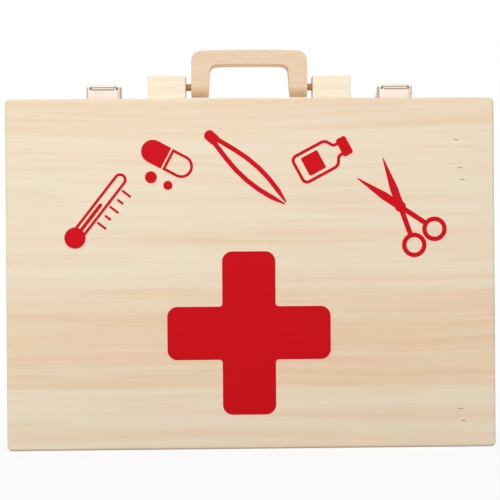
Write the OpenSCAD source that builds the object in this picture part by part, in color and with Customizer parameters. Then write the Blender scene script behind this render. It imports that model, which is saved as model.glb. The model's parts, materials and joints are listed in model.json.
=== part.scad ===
// Toy doctor case: a finger jointed wooden box in two halves, hinged along the bottom seam,
// with a turning wooden handle and two wire bail draw latches on top.
// It stands on its bottom; the front face looks along -Y and X runs to the right.

/* [Box] */
// Width of the box, left to right
box_w = 340; // [300:1:380]
// Height of the box, without the handle
box_h = 244; // [200:1:280]
// Depth of the closed box, front to back
box_d = 80; // [76:1:110]
// Depth of the lid half, front face to seam
lid_d = 28; // [26:1:34]
// Radius of the box corners, seen from the front
corner_r = 3.5; // [3:0.5:6]
// Rounding of the outer edges of both panels
edge_r = 2.2; // [1:0.2:2.8]
// Thickness of the frame boards
board_t = 8; // [7.5:0.5:10]
// Thickness of the front and back panels
panel_t = 5; // [4:0.5:6]
// Gap between the closed halves
seam_gap = 0.3; // [0.2:0.1:0.5]
// Fingers in each corner joint of the body
body_fingers = 5; // [3:2:7]
// Fingers in each corner joint of the lid
lid_fingers = 3; // [3:2:5]

/* [Handle] */
// Outer width of the handle bow
bow_w = 83.8; // [76:0.2:100]
// Height of the grip's top above the box
bow_rise = 39; // [36:0.1:50]
// Height of the grip bar
grip_t = 10.2; // [9:0.1:13]
// Width of a handle leg at its foot
leg_w = 12.4; // [11:0.1:15]
// How much wider a leg is at its top
leg_taper = 1.3; // [0:0.1:2]
// Depth of the handle, front to back
bow_d = 15; // [12:0.5:18]
// Outer corner radius of the bow
bow_corner_r = 7; // [5:0.5:9]
// Corner radius inside the finger gap
gap_corner_r = 5; // [3:0.5:7]
// Rise of the slightly arched grip
bow_arch = 0.8; // [0.4:0.1:1.5]
// Rounding of the handle's edges
bow_edge_r = 2.4; // [1:0.2:3]
// Height of the handle's turning axis above the box
pivot_rise = 12.9; // [12:0.1:15]
// Diameter of the dowels that the handle turns on
dowel_dia = 5; // [4:0.5:6]
// How far a dowel reaches into a handle leg
dowel_in_leg = 8.5; // [6:0.5:10]
// How far a dowel reaches into a block
dowel_in_block = 14; // [10:0.5:20]
// Visible stretch of dowel between leg and block
dowel_show = 3.9; // [2:0.1:6]
// Width of a handle block
block_w = 27.5; // [24:0.5:34]
// Height of a handle block
block_h = 20.4; // [18:0.2:26]
// Depth of a handle block
block_d = 16; // [12:0.5:20]
// Rounding of a handle block's edges
block_edge_r = 0.8; // [0.4:0.1:1.5]

/* [Latches] */
// Distance of each latch from the middle of the box
latch_x = 103.2; // [100:0.2:115]
// Thickness of the latch sheet
sheet_t = 1; // [0.8:0.1:1.2]
// Width of the catch plate
catch_w = 24.8; // [22.8:0.2:26]
// Height of the catch's hook
catch_h = 8.8; // [7:0.2:9]
// Height of the catch's walls beside the bail
catch_side_h = 10; // [9.4:0.2:10.6]
// Distance of the catch's front wall from the seam
catch_reach = 13.5; // [12:0.5:16]
// Corner radius of the catch's walls
catch_corner_r = 3.5; // [1.5:0.5:4]
// How far the catch's hook stands forward
hook_reach = 1.8; // [1.2:0.2:2.4]
// Width of the latch base plate, over its ears
latch_base_w = 12; // [11:0.5:12]
// Length of the latch base plate
latch_base_l = 27; // [25:1:29]
// Distance of the lever's pivot from the seam
pivot_back = 9; // [8:0.5:10]
// Height of the lever's pivot above the box
pivot_up = 4.8; // [4.6:0.1:5.2]
// Diameter of the lever's pivot
latch_pivot_dia = 2; // [1.6:0.1:2.2]
// Overall length of the lever behind its pivot
lever_l = 24; // [20:1:28]
// Width of the lever's finger plate
lever_w = 18; // [16:1:24]
// Height of the lever's top above the box
lever_top = 8.6; // [8.5:0.1:9]
// Distance of the bail's pivot behind the lever's pivot
bail_back = 5; // [4.6:0.1:5.5]
// How far the bail's pivot lies below the lever's pivot
bail_drop = 1.6; // [1:0.1:1.8]
// Diameter of the bail wire
wire_dia = 1.8; // [1.4:0.1:1.8]

/* [Hinges] */
// Distance of each hinge from the middle of the box
hinge_x = 100; // [70:1:125]
// Length of a hinge along the seam
hinge_l = 30; // [24:1:40]
// Reach of a hinge leaf from the axis
leaf_reach = 16; // [13:0.5:18]
// Thickness of a hinge leaf
leaf_t = 1; // [0.8:0.1:1.2]
// Height of the hinge axis above the bottom
hinge_z = 1.9; // [1.8:0.1:2.2]
// Diameter of the hinge barrel
barrel_dia = 3.2; // [3:0.1:3.4]
// Diameter of the hinge pin
hinge_pin_dia = 1.6; // [1.2:0.1:1.8]

/* [Screws] */
// Shank diameter of the small screws
screw_dia = 2; // [1.6:0.1:2.4]
// Head diameter of the small screws
screw_head_dia = 4.2; // [3.6:0.1:4.6]
// Length of the small screws
screw_l = 6.5; // [5:0.1:6.8]
// Shank diameter of the block screws
block_screw_dia = 3; // [2.5:0.1:3.5]
// Head diameter of the block screws
block_screw_head_dia = 6; // [5:0.2:7]
// How far the block screws reach into a block
block_screw_in = 9; // [6:0.5:9]

/* [Hidden] */
$fn = 48;

// Clearances
move_gap = 0.3;
running_gap = 0.05;
seat_gap = 0.02;
cut = 1;

// Places along the depth
front_y = -box_d / 2;
back_y = box_d / 2;
seam_y = front_y + lid_d;
lid_board_y0 = front_y + panel_t;
lid_board_y1 = seam_y - seam_gap / 2;
body_board_y0 = seam_y + seam_gap / 2;
body_board_y1 = back_y - panel_t;

// Handle
handle_y = 0;
pivot_z = box_h + pivot_rise;
block_x = bow_w / 2 + dowel_show + block_w / 2;
block_screw_inset = 6.2;
block_screw_head_h = 1.8;
bore_spare = 0.5;
foot_mark = 1;
arch_fn = 300;
gap_half_top = bow_w / 2 - leg_w - leg_taper;
gap_half_foot = bow_w / 2 - leg_w;
grip_top = bow_rise - pivot_rise;
gap_top = grip_top - grip_t;

// Latch, measured from the seam and the top of the box
base_corner_r = 1.5;
ear_r = 2.3;
lever_side_gap = 0.4;
lever_inner_w = latch_base_w + 2 * lever_side_gap;
neck_w = lever_inner_w + 2 * sheet_t;
neck_l = 10.5;
neck_nose = 1;
neck_overlap = 2;
lever_corner_r = 3;
roll_r = 1;
roll_proud = 0.1;
cheek_front_r = 3.2;
cheek_rear_r = 2.1;
cheek_overlap = 4;
rivet_head_t = 0.5;
rivet_rim = 0.7;
rivet_gap = 0.1;
rivet_w = neck_w + 2 * (rivet_gap + rivet_head_t);
bail_w = rivet_w + 2 * move_gap + wire_dia;
bail_end_in = 0.3;
bar_back = -(catch_reach + hook_reach - move_gap);
bar_up = catch_h + move_gap + wire_dia / 2;
bail_pivot_back = pivot_back + bail_back;
bail_pivot_up = pivot_up - bail_drop;
bail_run = bail_pivot_back - bar_back;
bail_climb = bar_up - bail_pivot_up;
bail_l = norm([bail_run, bail_climb]);
bail_corner_r = 2.5;
hook_w = bail_w - wire_dia - 2 * move_gap;
hook_step = 1;
hook_t = 0.8;
catch_notch_w = bail_w + wire_dia + 4 * move_gap;
catch_wall_back = 5;
catch_foot_back = 2;
base_start = 3;
base_screw_back = [17.5, 25.5];
catch_screw_x = 5.5;
catch_screw_back = -7;
head_t = 1.2;

// Hinge
relief_angle = 36;
leaf_lift = 0.2;
leaf_screw_back = 10.5;
leaf_screw_inset = 7;
leaf_screw_x = hinge_l / 2 - leaf_screw_inset;
knuckle_l = hinge_l / 3;

// Screws: width of the tip and of the head's outer face, over the full width
tip_share = 0.2;
dome_share = 0.72;

maple = "#fff0d6";
pine = "#ead3b0";
beech = "#edcaa0";
nickel = "#cfc8c0";
steel = "#b9b6b0";

// Helpers

// Rectangle with round corners, centred
module round_rect(w, h, r) {
    square([w - 2 * r, h], center = true);
    square([w, h - 2 * r], center = true);
    for (sx = [-1, 1], sy = [-1, 1])
        translate([sx * (w / 2 - r), sy * (h / 2 - r)])
            circle(r);
}

// Half section of a plate's rim: square below, rounded by e above
module rim_section(r, t, e) {
    square([r - e, t]);
    square([r, t - e]);
    translate([r - e, t - e])
        circle(e);
}

// Plate with corner radius r whose upper edges are rounded by e
module soft_plate(w, h, t, r, e) {
    in_w = w - 2 * r;
    in_h = h - 2 * r;
    translate([-in_w / 2, -in_h / 2, 0])
        cube([in_w, in_h, t]);
    for (sx = [-1, 1], sy = [-1, 1])
        translate([sx * in_w / 2, sy * in_h / 2, 0])
            rotate_extrude()
                rim_section(r, t, e);
    for (s = [0, 1]) {
        mirror([0, s, 0])
            translate([0, in_h / 2, 0])
                rotate([90, 0, 90])
                    linear_extrude(in_w, center = true)
                        rim_section(r, t, e);
        mirror([s, 0, 0])
            translate([in_w / 2, 0, 0])
                rotate([90, 0, 0])
                    linear_extrude(in_h, center = true)
                        rim_section(r, t, e);
    }
}

// Block on z = 0 whose upright and upper edges are rounded by r
module soft_block(w, d, h, r) {
    hull()
        for (sx = [-1, 1], sy = [-1, 1])
            translate([sx * (w / 2 - r), sy * (d / 2 - r), 0]) {
                cylinder(h = h - r, r = r, $fn = 24);
                translate([0, 0, h - r])
                    sphere(r, $fn = 24);
            }
}

// Cylinder along X, centred on its middle
module rod_x(l, r) {
    rotate([0, 90, 0])
        cylinder(h = l, r = r, center = true);
}

// Shank of a screw pointing up, with its tip
module screw_shank(dia, l) {
    cylinder(h = l - dia, r = dia / 2);
    translate([0, 0, l - dia])
        cylinder(h = dia, r1 = dia / 2, r2 = tip_share * dia / 2);
}

// Pan head screw pointing up, its head below z = 0
module pan_screw(dia, head_dia, head_h, l) {
    translate([0, 0, -head_h]) {
        cylinder(h = head_h / 2, r1 = dome_share * head_dia / 2, r2 = head_dia / 2);
        translate([0, 0, head_h / 2])
            cylinder(h = head_h / 2, r = head_dia / 2);
    }
    screw_shank(dia, l);
}

// Countersunk screw pointing up, its flat head at z = 0
module flat_screw(dia, head_dia, head_h, l) {
    cylinder(h = head_h, r1 = head_dia / 2, r2 = dia / 2);
    screw_shank(dia, l);
}

// Frame boards

// Everything inside the box's rounded outline
module outline_prism() {
    translate([0, back_y + cut, box_h / 2])
        rotate([90, 0, 0])
            linear_extrude(box_d + 2 * cut)
                round_rect(box_w, box_h, corner_r);
}

// Relief along the bottom seam, so that the halves can swing apart; side is 1 for the body
module seam_relief(side) {
    run = hinge_z / tan(relief_angle);
    translate([-box_w / 2 - cut, seam_y, 0])
        rotate([90, 0, 90])
            linear_extrude(box_w + 2 * cut)
                scale([side, 1])
                    polygon([
                        [-cut, hinge_z],
                        [seam_gap / 2, hinge_z],
                        [seam_gap / 2 + run, 0],
                        [seam_gap / 2 + run, -cut],
                        [-cut, -cut]
                    ]);
}

// Mortise for the hinges in a bottom board; side is 1 for the body
module hinge_pocket(side) {
    for (sx = [-1, 1])
        translate([sx * hinge_x, seam_y, 0]) {
            translate([0, 0, hinge_z])
                rod_x(hinge_l + 2 * move_gap, barrel_dia / 2 + move_gap);
            translate([-hinge_l / 2 - seat_gap, side > 0 ? 0 : -leaf_reach - seat_gap, -cut])
                cube([hinge_l + 2 * seat_gap, leaf_reach + seat_gap, cut + leaf_lift + leaf_t + seat_gap]);
            for (hx = [-1, 1])
                translate([hx * leaf_screw_x, side * leaf_screw_back, 0])
                    cylinder(h = leaf_lift + screw_l + move_gap, r = screw_dia / 2 + seat_gap);
        }
}

// Top or bottom board between y0 and y1: it owns the even fingers
module long_board(y0, y1, fingers, z0) {
    finger = (y1 - y0) / fingers;
    intersection() {
        outline_prism();
        difference() {
            translate([-box_w / 2, y0, z0])
                cube([box_w, y1 - y0, board_t]);
            for (i = [1 : 2 : fingers - 2], sx = [-1, 1])
                translate([sx * (box_w - board_t) / 2, y0 + (i + 0.5) * finger, z0 + board_t / 2])
                    cube([board_t, finger, board_t + 2 * cut], center = true);
        }
    }
}

// Side board between y0 and y1: it owns the odd fingers
module side_board(y0, y1, fingers, sx) {
    finger = (y1 - y0) / fingers;
    intersection() {
        outline_prism();
        difference() {
            translate([sx * (box_w - board_t) / 2, (y0 + y1) / 2, box_h / 2])
                cube([board_t, y1 - y0, box_h], center = true);
            for (i = [0 : 2 : fingers - 1], sz = [-1, 1])
                translate([
                    sx * (box_w - board_t) / 2,
                    y0 + (i + 0.5) * finger,
                    box_h / 2 + sz * (box_h - board_t) / 2
                ])
                    cube([board_t + 2 * cut, finger, board_t], center = true);
        }
    }
}

module front_panel() {
    color(pine)
        translate([0, lid_board_y0, box_h / 2])
            rotate([90, 0, 0])
                soft_plate(box_w, box_h, panel_t, corner_r, edge_r);
}

module back_panel() {
    color(pine)
        translate([0, body_board_y1, box_h / 2])
            rotate([-90, 0, 0])
                soft_plate(box_w, box_h, panel_t, corner_r, edge_r);
}

module lid_top_board() {
    color(pine)
        difference() {
            long_board(lid_board_y0, lid_board_y1, lid_fingers, box_h - board_t);
            at_latches()
                catch_screw_places()
                    translate([0, 0, -screw_l - move_gap])
                        cylinder(h = screw_l + move_gap + cut, r = screw_dia / 2 + seat_gap);
        }
}

module lid_bottom_board() {
    color(pine)
        difference() {
            long_board(lid_board_y0, lid_board_y1, lid_fingers, 0);
            seam_relief(-1);
            hinge_pocket(-1);
        }
}

module lid_side_board(sx) {
    color(pine)
        difference() {
            side_board(lid_board_y0, lid_board_y1, lid_fingers, sx);
            seam_relief(-1);
        }
}

module lid_left_board() {
    lid_side_board(-1);
}

module lid_right_board() {
    lid_side_board(1);
}

module body_top_board() {
    color(pine)
        difference() {
            long_board(body_board_y0, body_board_y1, body_fingers, box_h - board_t);
            at_latches()
                base_screw_places()
                    translate([0, 0, -screw_l - move_gap])
                        cylinder(h = screw_l + move_gap + cut, r = screw_dia / 2 + seat_gap);
            block_screw_places()
                translate([0, 0, -cut])
                    cylinder(h = board_t + 2 * cut, r = block_screw_dia / 2 + seat_gap);
        }
}

module body_bottom_board() {
    color(pine)
        difference() {
            long_board(body_board_y0, body_board_y1, body_fingers, 0);
            seam_relief(1);
            hinge_pocket(1);
        }
}

module body_side_board(sx) {
    color(pine)
        difference() {
            side_board(body_board_y0, body_board_y1, body_fingers, sx);
            seam_relief(1);
        }
}

module body_left_board() {
    body_side_board(-1);
}

module body_right_board() {
    body_side_board(1);
}

// Handle

// Finger gap inside the bow, grown by e
module finger_gap(e) {
    r = gap_corner_r + e;
    arch_r = gap_half_top * gap_half_top / (2 * bow_arch);
    intersection() {
        hull() {
            for (s = [-1, 1]) {
                translate([s * (gap_half_top + e - r), gap_top + e - r])
                    circle(r);
                translate([s * (gap_half_foot + e) - foot_mark / 2, -bow_d])
                    square(foot_mark);
            }
        }
        translate([0, gap_top + e - arch_r])
            circle(arch_r, $fn = arch_fn);
    }
}

// Outer outline of the bow, shrunk by e
module bow_outline(e) {
    r = bow_corner_r - e;
    foot = -bow_d;
    arch_r = bow_w * bow_w / (8 * bow_arch);
    intersection() {
        translate([0, (grip_top + foot) / 2])
            round_rect(bow_w - 2 * e, grip_top - foot - 2 * e, r);
        translate([0, grip_top - e - arch_r])
            circle(arch_r, $fn = arch_fn);
    }
}

// The wooden bow: its edges are rounded all round and its feet are round about the axis
module carry_handle() {
    bore_l = cut + dowel_in_leg + bore_spare;
    color(beech)
        translate([0, handle_y, pivot_z])
            difference() {
                intersection() {
                    minkowski() {
                        rotate([90, 0, 0])
                            linear_extrude(bow_d - 2 * bow_edge_r, center = true)
                                difference() {
                                    bow_outline(bow_edge_r, $fn = 32);
                                    finger_gap(bow_edge_r, $fn = 32);
                                }
                        sphere(bow_edge_r, $fn = 18);
                    }
                    union() {
                        rod_x(bow_w + cut, bow_d / 2);
                        translate([-bow_w / 2 - cut, -bow_d / 2 - cut, 0])
                            cube([bow_w + 2 * cut, bow_d + 2 * cut, grip_top + cut]);
                    }
                }
                for (s = [-1, 1])
                    translate([s * (bow_w / 2 + cut - bore_l / 2), 0, 0])
                        rod_x(bore_l, dowel_dia / 2 + running_gap);
            }
}

module handle_block(sx) {
    color(maple)
        difference() {
            translate([sx * block_x, handle_y, box_h])
                soft_block(block_w, block_d, block_h, block_edge_r);
            translate([sx * (block_x - block_w / 2 + dowel_in_block / 2 - cut / 2), handle_y, pivot_z])
                rod_x(dowel_in_block + cut, dowel_dia / 2 + seat_gap);
            block_screw_places()
                cylinder(h = board_t + block_screw_in + move_gap, r = block_screw_dia / 2 + seat_gap);
        }
}

module handle_block_left() {
    handle_block(-1);
}

module handle_block_right() {
    handle_block(1);
}

module handle_dowel(sx) {
    dowel_l = dowel_in_leg + dowel_show + dowel_in_block - seat_gap;
    color(beech)
        translate([sx * (bow_w / 2 - dowel_in_leg + dowel_l / 2), handle_y, pivot_z])
            rod_x(dowel_l, dowel_dia / 2);
}

module handle_dowel_left() {
    handle_dowel(-1);
}

module handle_dowel_right() {
    handle_dowel(1);
}

// Undersides of the top board where the block screws enter
module block_screw_places() {
    for (sx = [-1, 1], hx = [-1, 1])
        translate([sx * block_x + hx * (block_w / 2 - block_screw_inset), handle_y, box_h - board_t])
            children();
}

module block_screws() {
    color(steel)
        block_screw_places()
            pan_screw(block_screw_dia, block_screw_head_dia, block_screw_head_h, board_t + block_screw_in);
}

// Latches

// Latch frames: the origin is on the box's top at the seam
module at_latches() {
    for (sx = [-1, 1])
        at_latch(sx)
            children();
}

module at_latch(sx) {
    translate([sx * latch_x, seam_y, box_h])
        children();
}

module catch_screw_places() {
    for (s = [-1, 1])
        translate([s * catch_screw_x, catch_screw_back, 0])
            children();
}

module base_screw_places() {
    for (y = base_screw_back)
        translate([0, y, 0])
            children();
}

// The catch seen from above, its outline drawn in by e and kept to its first l behind the front
module catch_outline(e, l) {
    intersection() {
        translate([0, -catch_reach + catch_w / 2])
            round_rect(catch_w - 2 * e, catch_w - 2 * e, catch_corner_r - e);
        translate([-catch_w / 2, -catch_reach])
            square([catch_w, l]);
    }
}

// Walls of the catch: they stand highest beside the bail and leave a notch for it
module catch_walls() {
    wall_l = catch_reach - catch_wall_back;
    difference() {
        linear_extrude(catch_side_h)
            difference() {
                catch_outline(0, wall_l);
                catch_outline(sheet_t, wall_l + cut);
            }
        translate([-catch_notch_w / 2, -catch_reach - cut, catch_h - hook_step])
            cube([catch_notch_w, wall_l + 2 * cut, catch_side_h]);
    }
}

// Hook that holds the bail: the wall's middle bent forward, with a round bend and a round lip
module catch_hook() {
    lip_r = hook_t / 2;
    translate([0, -catch_reach, 0])
        rotate([90, 0, 90])
            linear_extrude(hook_w, center = true) {
                square([sheet_t, catch_h - sheet_t]);
                intersection() {
                    translate([0, catch_h - sheet_t])
                        circle(sheet_t);
                    translate([0, catch_h - sheet_t])
                        square(sheet_t);
                }
                translate([lip_r - hook_reach, catch_h - hook_t])
                    square([hook_reach - lip_r, hook_t]);
                translate([lip_r - hook_reach, catch_h - lip_r])
                    circle(lip_r);
            }
}

// Pressed catch: foot, front wall with round corners and short side walls, and hook
module catch_plate(sx) {
    color(nickel)
        at_latch(sx)
            difference() {
                union() {
                    linear_extrude(sheet_t)
                        catch_outline(0, catch_reach - catch_foot_back);
                    catch_walls();
                    catch_hook();
                }
                catch_screw_places()
                    translate([0, 0, -cut])
                        cylinder(h = sheet_t + 2 * cut, r = screw_dia / 2 + seat_gap);
            }
}

module catch_plate_left() {
    catch_plate(-1);
}

module catch_plate_right() {
    catch_plate(1);
}

// Base plate with the two ears that carry the lever's pivot
module latch_base(sx) {
    color(nickel)
        at_latch(sx)
            difference() {
                union() {
                    translate([0, base_start + latch_base_l / 2, 0])
                        linear_extrude(sheet_t)
                            round_rect(latch_base_w, latch_base_l, base_corner_r);
                    for (s = [-1, 1])
                        translate([s * (latch_base_w - sheet_t) / 2, pivot_back, 0]) {
                            translate([0, 0, pivot_up])
                                rod_x(sheet_t, ear_r);
                            translate([-sheet_t / 2, -ear_r, 0])
                                cube([sheet_t, 2 * ear_r, pivot_up]);
                        }
                }
                translate([0, pivot_back, pivot_up])
                    rod_x(latch_base_w + cut, latch_pivot_dia / 2 + seat_gap);
                base_screw_places()
                    translate([0, 0, -cut])
                        cylinder(h = sheet_t + 2 * cut, r = screw_dia / 2 + seat_gap);
            }
}

module latch_base_left() {
    latch_base(-1);
}

module latch_base_right() {
    latch_base(1);
}

module latch_pivot(sx) {
    color(steel)
        at_latch(sx)
            translate([0, pivot_back, pivot_up]) {
                rod_x(rivet_w, latch_pivot_dia / 2);
                for (s = [-1, 1])
                    translate([s * (rivet_w - rivet_head_t) / 2, 0, 0])
                        rod_x(rivet_head_t, latch_pivot_dia / 2 + rivet_rim);
            }
}

module latch_pivot_left() {
    latch_pivot(-1);
}

module latch_pivot_right() {
    latch_pivot(1);
}

// Lever: a top plate that widens to the finger plate, and two cheeks that hold both pivots
module latch_lever(sx) {
    plate_z = lever_top - sheet_t;
    color(nickel)
        at_latch(sx)
            difference() {
                union() {
                    translate([0, pivot_back, plate_z])
                        linear_extrude(sheet_t) {
                            translate([-neck_w / 2, -neck_nose])
                                square([neck_w, neck_nose + neck_l + neck_overlap]);
                            translate([0, (neck_l + lever_l) / 2])
                                round_rect(lever_w, lever_l - neck_l, lever_corner_r);
                        }
                    translate([0, pivot_back + lever_l - roll_r, lever_top - roll_r + roll_proud])
                        rod_x(lever_w - 2 * lever_corner_r, roll_r);
                    for (s = [-1, 1])
                        translate([s * (neck_w - sheet_t) / 2, 0, 0])
                            rotate([90, 0, 90])
                                linear_extrude(sheet_t, center = true)
                                    hull() {
                                        translate([pivot_back, pivot_up])
                                            circle(cheek_front_r, $fn = 32);
                                        translate([bail_pivot_back, bail_pivot_up])
                                            circle(cheek_rear_r, $fn = 32);
                                        translate([pivot_back - neck_nose, plate_z])
                                            square([neck_nose + neck_l + cheek_overlap, sheet_t]);
                                    }
                }
                translate([0, pivot_back, pivot_up])
                    rod_x(neck_w + cut, latch_pivot_dia / 2 + running_gap);
                translate([0, bail_pivot_back, bail_pivot_up])
                    rod_x(neck_w + cut, wire_dia / 2 + running_gap);
            }
}

module latch_lever_left() {
    latch_lever(-1);
}

module latch_lever_right() {
    latch_lever(1);
}

// Wire loop that reaches over the hook, with its ends bent in through the lever's cheeks
module latch_bail(sx) {
    wire_r = wire_dia / 2;
    half_w = bail_w / 2;
    end_l = half_w - lever_inner_w / 2 + bail_end_in;
    color(steel)
        at_latch(sx)
            translate([0, bail_pivot_back, bail_pivot_up])
                rotate([-atan2(bail_climb, bail_run), 0, 0]) {
                    for (s = [0, 1])
                        mirror([s, 0, 0]) {
                            translate([half_w - end_l / 2, 0, 0])
                                rod_x(end_l, wire_r);
                            translate([half_w, 0, 0])
                                sphere(wire_r);
                            translate([half_w, 0, 0])
                                rotate([90, 0, 0])
                                    cylinder(h = bail_l - bail_corner_r, r = wire_r);
                            translate([half_w - bail_corner_r, -bail_l + bail_corner_r, 0])
                                rotate([0, 0, -90])
                                    rotate_extrude(angle = 90)
                                        translate([bail_corner_r, 0])
                                            circle(wire_r, $fn = 32);
                        }
                    translate([0, -bail_l, 0])
                        rod_x(bail_w - 2 * bail_corner_r, wire_r);
                }
}

module latch_bail_left() {
    latch_bail(-1);
}

module latch_bail_right() {
    latch_bail(1);
}

module latch_screws() {
    color(steel)
        at_latches()
            base_screw_places()
                translate([0, 0, sheet_t])
                    mirror([0, 0, 1])
                        pan_screw(screw_dia, screw_head_dia, head_t, screw_l + sheet_t);
}

module catch_screws() {
    color(steel)
        at_latches()
            catch_screw_places()
                translate([0, 0, sheet_t])
                    mirror([0, 0, 1])
                        pan_screw(screw_dia, screw_head_dia, head_t, screw_l + sheet_t);
}

// Hinges

// Spans of the three knuckles: the outer two belong to the body, the middle one to the lid
module knuckles(of_body, r, extra) {
    for (i = of_body ? [-1, 1] : [0])
        translate([i * knuckle_l, 0, 0])
            rod_x(knuckle_l + (extra ? seat_gap : -seam_gap), r);
}

module hinge_leaf(sx, side) {
    of_body = side > 0;
    color(nickel)
        difference() {
            translate([sx * hinge_x, seam_y, hinge_z])
                difference() {
                    union() {
                        difference() {
                            translate([-hinge_l / 2, side > 0 ? 0 : -leaf_reach, leaf_lift - hinge_z])
                                cube([hinge_l, leaf_reach, leaf_t]);
                            knuckles(!of_body, barrel_dia / 2 + move_gap, true);
                        }
                        knuckles(of_body, barrel_dia / 2, false);
                    }
                    rod_x(hinge_l + cut, hinge_pin_dia / 2 + running_gap);
                    for (hx = [-1, 1])
                        translate([hx * leaf_screw_x, side * leaf_screw_back, leaf_lift - hinge_z - seat_gap])
                            cylinder(
                                h = leaf_t + 2 * seat_gap,
                                r1 = screw_head_dia / 2 + seat_gap,
                                r2 = screw_dia / 2 + seat_gap
                            );
                }
            leaf_relief(side);
        }
}

// The same swing relief as the boards have, beyond the barrel's own radius
module leaf_relief(side) {
    difference() {
        seam_relief(side);
        translate([0, seam_y, hinge_z])
            rod_x(box_w, barrel_dia / 2);
    }
}

module hinge_body_leaf_left() {
    hinge_leaf(-1, 1);
}

module hinge_body_leaf_right() {
    hinge_leaf(1, 1);
}

module hinge_lid_leaf_left() {
    hinge_leaf(-1, -1);
}

module hinge_lid_leaf_right() {
    hinge_leaf(1, -1);
}

module hinge_pin(sx) {
    color(steel)
        translate([sx * hinge_x, seam_y, hinge_z])
            rod_x(hinge_l, hinge_pin_dia / 2);
}

module hinge_pin_left() {
    hinge_pin(-1);
}

module hinge_pin_right() {
    hinge_pin(1);
}

module hinge_screw_set(side) {
    color(steel)
        for (sx = [-1, 1], hx = [-1, 1])
            translate([sx * hinge_x + hx * leaf_screw_x, seam_y + side * leaf_screw_back, leaf_lift])
                flat_screw(screw_dia, screw_head_dia, leaf_t, screw_l);
}

module hinge_body_screws() {
    hinge_screw_set(1);
}

module hinge_lid_screws() {
    hinge_screw_set(-1);
}

front_panel();
lid_top_board();
lid_bottom_board();
lid_left_board();
lid_right_board();
back_panel();
body_top_board();
body_bottom_board();
body_left_board();
body_right_board();
carry_handle();
handle_block_left();
handle_block_right();
handle_dowel_left();
handle_dowel_right();
block_screws();
latch_base_left();
latch_base_right();
latch_pivot_left();
latch_pivot_right();
latch_lever_left();
latch_lever_right();
latch_bail_left();
latch_bail_right();
catch_plate_left();
catch_plate_right();
latch_screws();
catch_screws();
hinge_body_leaf_left();
hinge_body_leaf_right();
hinge_lid_leaf_left();
hinge_lid_leaf_right();
hinge_pin_left();
hinge_pin_right();
hinge_body_screws();
hinge_lid_screws();
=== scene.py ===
"""Toy doctor case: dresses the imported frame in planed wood, red print and plated metal, in a plain studio."""

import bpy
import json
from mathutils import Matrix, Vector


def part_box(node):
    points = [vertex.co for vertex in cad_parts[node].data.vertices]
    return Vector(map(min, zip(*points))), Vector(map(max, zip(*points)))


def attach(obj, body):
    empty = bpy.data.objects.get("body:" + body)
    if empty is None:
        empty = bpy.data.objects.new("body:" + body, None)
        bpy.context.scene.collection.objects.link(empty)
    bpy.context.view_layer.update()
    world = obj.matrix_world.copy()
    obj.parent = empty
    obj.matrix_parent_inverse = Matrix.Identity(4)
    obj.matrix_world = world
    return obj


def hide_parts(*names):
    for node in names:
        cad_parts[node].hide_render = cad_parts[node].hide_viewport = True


bl_info = {
    "name": "Toy Doctor Case",
    "version": (1, 0, 0),
    "blender": (4, 5, 0),
    "location": "View3D > Sidebar > Doctor Case",
    "description": "Wooden play case with a turning handle, draw latches and hinges",
    "category": "Object",
}

import json
import math

import bmesh
import bpy
from mathutils import Matrix, Vector

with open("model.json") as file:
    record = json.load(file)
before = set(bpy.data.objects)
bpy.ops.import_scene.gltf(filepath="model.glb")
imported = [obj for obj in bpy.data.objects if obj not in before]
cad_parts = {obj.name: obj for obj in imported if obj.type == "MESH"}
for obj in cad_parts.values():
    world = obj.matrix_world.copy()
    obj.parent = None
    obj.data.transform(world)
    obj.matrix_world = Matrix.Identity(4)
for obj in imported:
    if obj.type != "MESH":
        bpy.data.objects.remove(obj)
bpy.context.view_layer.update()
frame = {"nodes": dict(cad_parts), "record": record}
MM = 0.001

# Which body carries each node
BODY_OF = {node: body for body, nodes in frame["record"]["behaviour"]["bodies"].items() for node in nodes}

WHITE, BLACK = (1.0,) * 3, (0.0,) * 3
# A Mix node's sockets for colours: the factor, the two colours and the result
FACTOR, FIRST, SECOND, MIXED = 0, 6, 7, 2


def linear(hex_colour):
    """An sRGB hex colour, such as #ecd8ba, as linear red, green and blue."""
    channels = [int(hex_colour[i:i + 2], 16) / 255 for i in (1, 3, 5)]
    return tuple(c / 12.92 if c <= 0.04045 else ((c + 0.055) / 1.055) ** 2.4 for c in channels)


def length(name, description, default_mm, least_mm=0):
    """A length property, given in millimetres and kept in metres."""
    return bpy.props.FloatProperty(
        name=name, description=description, default=default_mm * MM, min=least_mm * MM,
        unit="LENGTH", precision=5,
    )


def colour(name, description, hex_colour):
    """A colour property, given as sRGB hex and kept linear."""
    return bpy.props.FloatVectorProperty(
        name=name, description=description, default=linear(hex_colour), min=0, max=1, size=3, subtype="COLOR"
    )


def power(name, description, default):
    """The power property of a lamp, in watts."""
    return bpy.props.FloatProperty(name=name, description=description, default=default, min=0, unit="POWER")


# Settings


class BoardSettings(bpy.types.PropertyGroup):
    """Pine boards of both halves."""

    edge: length("Edge", "Eased edge of each glued board, which shows the joints", 0.22)
    seam_edge: length("Seam edge", "Eased edge of both halves along the seam", 0.6)
    ring: length("Ring", "Mean width of a growth ring", 4.2)
    ring_depth: bpy.props.FloatProperty(name="Ring depth", description="How much rings show", default=0.35)
    early: colour("Cream wood", "Pale bands of the wood", "#eee1ca")
    late: colour("Tan wood", "Warm bands of the wood", "#ebccab")
    resin: colour("Resin", "Dark resin marks", "#7f5f40")


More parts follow.
